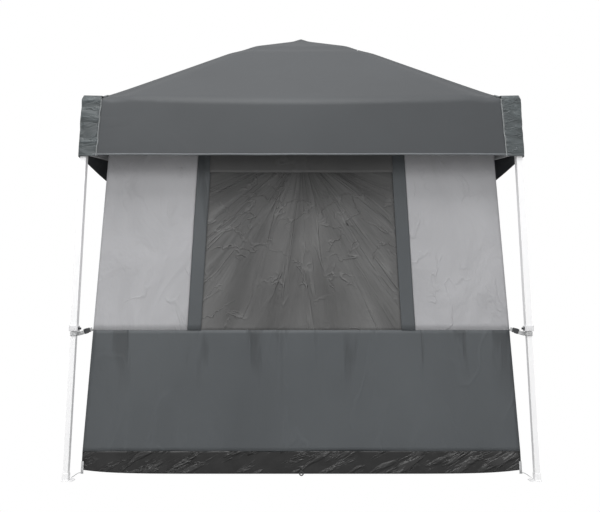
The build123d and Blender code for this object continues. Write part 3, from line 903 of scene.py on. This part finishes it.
def strap_set(corner):
    """Webbing round the lower tube under the lock, and up through the buckle to the tent's seam."""
    sx, sy = CORNERS[corner]
    up = Vector((0, 0, 1))
    centre = Vector((sx * LEG, sy * LEG, LOCK_LOW.z - STRAP_DOWN))
    inward = Vector((-sx, -sy, 0)).normalized()
    ring = []
    for k in range(32):
        a = 2 * math.pi * k / 32
        x = math.copysign(abs(math.cos(a)) ** 0.35, math.cos(a)) * LOOP_HALF
        y = math.copysign(abs(math.sin(a)) ** 0.35, math.sin(a)) * LOOP_HALF
        ring.append(centre + Vector((x, y, 0)))
    loop = grid_piece("strap_loop_" + corner, "webbing", strap_rows(ring, up), STRAP_THICKNESS, close=True)
    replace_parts(loop, "tie_straps")
    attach(loop, "leg_" + corner)
    near = LOOP_HALF * math.sqrt(2) - 0.002
    far = (LEG - tent_half(centre.z)) * math.sqrt(2) - 0.004
    along = (inward * (far - near) + up * STRAP_RISE).normalized()
    length = math.hypot(far - near, STRAP_RISE)
    start = centre + inward * near
    across = along.cross(up).normalized()
    lift = across.cross(along)
    line = []
    for k in range(17):
        sag = 0.002 * math.sin(math.pi * k / 16)
        line.append(start + along * (length * k / 16) - lift * sag)
    tail = grid_piece("strap_tail_" + corner, "webbing", strap_rows(line, lift), STRAP_THICKNESS)
    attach(tail, "leg_" + corner)
    buckle = side_release_buckle("buckle_" + corner, start + along * (length * BUCKLE_ALONG), along, lift)
    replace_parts(buckle, "strap_buckles")
    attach(buckle, "leg_" + corner)


def floor_tie(corner):
    """Short cord from the floor's corner to a hook at the foot plate."""
    sx, sy = CORNERS[corner]
    tent = Vector((sx * TENT_BOTTOM_HALF, sy * TENT_BOTTOM_HALF, TUB_LOW.z + 0.045))
    foot = Vector((sx * (LEG - 0.020), sy * (LEG - 0.020), 0.012))
    tab_rows = []
    for dz in (0.0, 0.02, 0.04, 0.06):
        row = [tent + Vector((-sx * 0.010, sy * 0.002, dz)), tent + Vector((sx * 0.002, sy * 0.002, dz)),
               tent + Vector((sx * 0.002, -sy * 0.010, dz))]
        tab_rows.append([p - Vector((0, 0, 0.03)) for p in row])
    tab = grid_piece("corner_tab_" + corner, "webbing", tab_rows, 0.002)
    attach(tab, "leg_" + corner)
    line = [tent + Vector((0, 0, -0.025)), tent.lerp(foot, 0.3) + Vector((0, 0, -0.012)),
            tent.lerp(foot, 0.6) + Vector((0, 0, -0.006)), foot]
    cord = tape_along("floor_tie_" + corner, "webbing", line, 0.004)
    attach(cord, "leg_" + corner)


# ---- the CAD pieces' finishes --------------------------------------------------------------
def finish_frame():
    by_slot = {"white_steel": "steel", "white_plastic": "white_plastic", "dark_plastic": "dark_plastic",
               "slate_cloth": "slate", "silver_cloth": "silver", "window_mesh": "window", "tub_sheet": "tub",
               "grey_webbing": "webbing"}
    slots = {row["node"]: row["material_slot"] for row in frame["record"]["subparts"]}
    for name, node in frame["nodes"].items():
        node.data.materials.clear()
        node.data.materials.append(MATERIALS[by_slot[slots[name]]])


# ---- stage, light and camera ---------------------------------------------------------------
def area_light(name, place, target, size, power, colour=(1, 1, 1)):
    light = bpy.data.lights.new(name, "AREA")
    light.shape = "RECTANGLE"
    light.size, light.size_y = size
    light.energy = power
    light.color = colour
    shown = bpy.data.objects.new(name, light)
    bpy.context.scene.collection.objects.link(shown)
    shown.location = place
    shown.rotation_euler = (Vector(target) - Vector(place)).to_track_quat("-Z", "Y").to_euler()


def studio():
    mesh = bpy.data.meshes.new("floor")
    reach = 30.0
    mesh.from_pydata([(-reach, -reach, 0), (reach, -reach, 0), (reach, reach, 0), (-reach, reach, 0)], [],
                     [(0, 1, 2, 3)])
    floor = bpy.data.objects.new("floor", mesh)
    bpy.context.scene.collection.objects.link(floor)
    material, tree, shader = new_material("pale_floor")
    shader.inputs["Base Color"].default_value = (0.5, 0.5, 0.5, 1)
    shader.inputs["Roughness"].default_value = 0.9
    shader.inputs["Emission Color"].default_value = (1, 1, 1, 1)
    shader.inputs["Emission Strength"].default_value = FLOOR_GLOW
    white = add(tree, "ShaderNodeEmission", Color=(1, 1, 1, 1), Strength=1.0)
    path = add(tree, "ShaderNodeLightPath")
    mix = add(tree, "ShaderNodeMixShader")
    tree.links.new(path.outputs["Is Camera Ray"], mix.inputs[0])
    tree.links.new(shader.outputs[0], mix.inputs[1])
    tree.links.new(white.outputs[0], mix.inputs[2])
    tree.links.new(mix.outputs[0], tree.nodes["Material Output"].inputs["Surface"])
    mesh.materials.append(material)
    world = bpy.data.worlds.new("studio")
    world.use_nodes = True
    tree = world.node_tree
    dim = tree.nodes["Background"]
    dim.inputs["Color"].default_value = (1, 1, 1, 1)
    dim.inputs["Strength"].default_value = WORLD_LIGHT
    backdrop = add(tree, "ShaderNodeBackground", Color=(1, 1, 1, 1), Strength=1.0)
    path = add(tree, "ShaderNodeLightPath")
    mix = add(tree, "ShaderNodeMixShader")
    tree.links.new(path.outputs["Is Camera Ray"], mix.inputs[0])
    tree.links.new(dim.outputs[0], mix.inputs[1])
    tree.links.new(backdrop.outputs[0], mix.inputs[2])
    tree.links.new(mix.outputs[0], tree.nodes["World Output"].inputs["Surface"])
    bpy.context.scene.world = world
    area_light("key", (-3.2, -6.5, 4.6), (0, 0, 1.1), (2.5, 2.5), 105)
    area_light("top", (-0.6, -3.6, 7.6), (0, 0, 2.4), (3, 3), 310)
    area_light("fill", (4.5, -4.5, 3.0), (0, 0, 1.2), (3, 3), 35)


CAMERA_PLACE = (-0.007, -LEG - 3.0, 0.676)
CAMERA_UP = math.radians(8.5)
LENS = 34.8


def camera():
    data = bpy.data.cameras.new("camera")
    data.lens = LENS
    data.sensor_width = 36.0
    shown = bpy.data.objects.new("camera", data)
    bpy.context.scene.collection.objects.link(shown)
    shown.location = CAMERA_PLACE
    shown.rotation_euler = (math.radians(90) + CAMERA_UP, 0, 0)
    bpy.context.scene.camera = shown
    bpy.context.scene.view_settings.view_transform = "Standard"


# ---- build ---------------------------------------------------------------------------------
finish_frame()
for corner in CORNERS:
    roof_quarter(corner, "roof", lip_end, ELBOW_HALF, "outer_roof")
    roof_quarter(corner, "crown", lambda u: ELBOW_HALF, 0.004, "inner_roof", rows=16)
    corner_patch(corner)
    strap_set(corner)
    floor_tie(corner)
for side in TURN:
    valance(side)
front_wall()
plain_side("left", "tent_wall_left")
plain_side("right", "tent_wall_right")
back_wall()
door()
zip_pull()
tub()
drain_loop()
studio()
camera()
bpy.context.view_layer.update()
